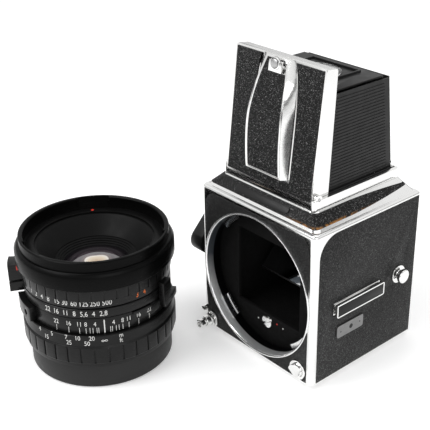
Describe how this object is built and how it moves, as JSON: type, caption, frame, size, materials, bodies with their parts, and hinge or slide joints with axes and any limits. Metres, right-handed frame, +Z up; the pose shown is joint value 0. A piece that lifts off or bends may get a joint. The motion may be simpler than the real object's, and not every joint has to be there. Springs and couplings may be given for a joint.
{
  "type": "medium format film camera",
  "caption": "Box-shaped single lens reflex film camera with an open folding waist-level finder, and its lens standing on a rear cap beside it.",
  "frame": {"origin": "mouth of the tripod thread, on the foot's underside, under the middle of the body", "axes": "+Z up, the lens throat faces -Y, +X is to the viewer's right seen from the front"},
  "size_m": [0.1661, 0.196, 0.1804],
  "materials": {
    "chrome": "bright",
    "leather": "grained",
    "black_plate": "gloss",
    "dark_throat": "matt",
    "steel": "satin",
    "black_paint": "satin",
    "mirror_silver": "polished",
    "glass": "coated",
    "screen": "ground",
    "lens_black": "black anodised",
    "cap_plastic": "satin",
    "grey_metal": "satin",
    "brass": "turned"
  },
  "bodies": {
    "camera_body": {"body_shell": "chrome", "front_skin": "leather", "right_skin": "leather", "left_skin": "leather", "shoulder_skin": "leather", "name_plate": "black_plate", "throat_ring": "chrome", "bayonet_claws": "steel", "lens_flange": "dark_throat", "light_box": "dark_throat", "focusing_screen": "screen", "screen_frame": "black_paint", "rear_plate": "dark_throat", "magazine_hooks": "steel", "magazine_catches": "steel", "base_foot": "steel", "tripod_bush": "brass", "accessory_rail": "chrome", "side_plate": "grey_metal", "strap_lugs": "chrome", "button_collars": "chrome", "crank_bearing": "chrome", "finder_base": "chrome", "finder_pins": "steel"},
    "mirror": {"mirror_holder": "black_paint", "mirror_glass": "mirror_silver"},
    "upper_flap_body": {"upper_flap": "black_paint"},
    "lower_flap_body": {"lower_flap": "black_paint"},
    "crank": {"crank_arm": "black_paint", "wind_gear": "brass"},
    "crank_handle_body": {"crank_handle": "black_paint"},
    "coupling": {"coupling_shaft": "steel"},
    "film_drive": {"film_gear": "steel"},
    "release": {"release_button": "chrome"},
    "release_lock": {"release_latch": "chrome"},
    "lens_catch_body": {"lens_catch": "chrome"},
    "lid": {"hood_lid": "chrome", "lid_skin": "leather", "magnifier_pin": "steel"},
    "lid_latch": {"latch_knob": "chrome"},
    "magnifier": {"magnifier_plate": "black_paint", "magnifier_glass": "glass"},
    "right_side": {"right_panel": "black_paint"},
    "left_side": {"left_panel": "black_paint"},
    "rear_side": {"rear_panel": "black_paint"},
    "lens": {"lens_barrel": "lens_black", "bayonet_mount": "steel", "front_rim": "lens_black", "name_ring": "lens_black", "front_cone": "lens_black", "front_glass": "glass", "rear_glass": "glass", "glass_cells": "lens_black", "iris": "steel", "sync_socket": "lens_black"},
    "focus": {"focus_ring": "lens_black"},
    "aperture": {"aperture_ring": "lens_black"},
    "shutter": {"shutter_ring": "lens_black"},
    "preview": {"preview_lever": "lens_black"},
    "cap": {"rear_cap": "cap_plastic"}
  },
  "joints": [
    {"name": "mirror_swing", "type": "hinge", "parent": "camera_body", "child": "mirror", "pos_m": [0, 0.0295, 0.0783], "axis": [-1, 0, 0], "range_deg": [0, 45]},
    {"name": "upper_flap_swing", "type": "hinge", "parent": "camera_body", "child": "upper_flap_body", "pos_m": [0, 0.0356, 0.0772], "axis": [-1, 0, 0], "range_deg": [0, 78]},
    {"name": "lower_flap_swing", "type": "hinge", "parent": "camera_body", "child": "lower_flap_body", "pos_m": [0, 0.0356, 0.0198], "axis": [1, 0, 0], "range_deg": [0, 78]},
    {"name": "crank_turn", "type": "hinge", "parent": "camera_body", "child": "crank", "pos_m": [-0.046, -0.0135, 0.062], "axis": [-1, 0, 0], "continuous": true},
    {"name": "crank_handle_fold", "type": "hinge", "parent": "crank", "child": "crank_handle_body", "pos_m": [-0.0582, -0.0335, 0.053], "axis": [0, -0.4104, 0.9119], "range_deg": [0, 90]},
    {"name": "coupling_turn", "type": "hinge", "parent": "camera_body", "child": "coupling", "pos_m": [0, -0.0324, 0.0198], "axis": [0, 1, 0], "continuous": true},
    {"name": "film_gear_turn", "type": "hinge", "parent": "camera_body", "child": "film_drive", "pos_m": [0.037, 0.043, 0.022], "axis": [0, 1, 0], "continuous": true},
    {"name": "release_press", "type": "slide", "parent": "camera_body", "child": "release", "axis": [0, 1, 0], "range_m": [0, 0.0025], "stiffness_N_per_m": 400},
    {"name": "release_lock_turn", "type": "hinge", "parent": "camera_body", "child": "release_lock", "pos_m": [-0.0372, -0.043, 0.0089], "axis": [0, -1, 0], "range_deg": [0, 40]},
    {"name": "lens_catch_press", "type": "slide", "parent": "camera_body", "child": "lens_catch_body", "axis": [0, 1, 0], "range_m": [0, 0.0016], "stiffness_N_per_m": 500},
    {"name": "lid_lean", "type": "hinge", "parent": "camera_body", "child": "lid", "pos_m": [0, -0.03025, 0.11078], "axis": [-1, 0, 0], "range_deg": [0, 2]},
    {"name": "lid_latch_slide", "type": "slide", "parent": "lid", "child": "lid_latch", "axis": [1, 0, 0], "range_m": [0, 0.0025], "stiffness_N_per_m": 300},
    {"name": "magnifier_fold", "type": "hinge", "parent": "lid", "child": "magnifier", "pos_m": [0, -0.02457, 0.16509], "axis": [-1, 0, 0], "range_deg": [0, 92]},
    {"name": "right_side_fold", "type": "hinge", "parent": "camera_body", "child": "right_side", "pos_m": [0.0314, 0, 0.1093], "axis": [0, -1, 0], "range_deg": [0, 90]},
    {"name": "left_side_fold", "type": "hinge", "parent": "camera_body", "child": "left_side", "pos_m": [-0.0314, 0, 0.1107], "axis": [0, 1, 0], "range_deg": [0, 90]},
    {"name": "rear_side_fold", "type": "hinge", "parent": "camera_body", "child": "rear_side", "pos_m": [0, 0.0332, 0.1121], "axis": [1, 0, 0], "range_deg": [0, 83.35]},
    {"name": "lens_lift", "type": "slide", "parent": "camera_body", "child": "lens", "axis": [0, 0, 1], "range_m": [0, 0.1]},
    {"name": "focus_turn", "type": "hinge", "parent": "lens", "child": "focus", "pos_m": [-0.0693, -0.1028, 0], "axis": [0, 0, 1], "range_deg": [0, 270]},
    {"name": "aperture_turn", "type": "hinge", "parent": "lens", "child": "aperture", "pos_m": [-0.0693, -0.1028, 0], "axis": [0, 0, 1], "range_deg": [0, 44]},
    {"name": "shutter_turn", "type": "hinge", "parent": "lens", "child": "shutter", "pos_m": [-0.0693, -0.1028, 0], "axis": [0, 0, 1], "range_deg": [0, 75]},
    {"name": "preview_turn", "type": "hinge", "parent": "lens", "child": "preview", "pos_m": [-0.0693, -0.1028, 0], "axis": [0, 0, 1], "range_deg": [-10, 0]},
    {"name": "cap_twist", "type": "hinge", "parent": "lens", "child": "cap", "pos_m": [-0.0693, -0.1028, 0], "axis": [0, 0, 1], "range_deg": [0, 24]}
  ],
  "couplings": [
    {"joint": "upper_flap_swing", "follows": "mirror_swing", "ratio": 1.7333},
    {"joint": "lower_flap_swing", "follows": "mirror_swing", "ratio": 1.7333},
    {"joint": "coupling_turn", "follows": "crank_turn", "ratio": 0.8},
    {"joint": "film_gear_turn", "follows": "crank_turn", "ratio": 1.5}
  ]
}
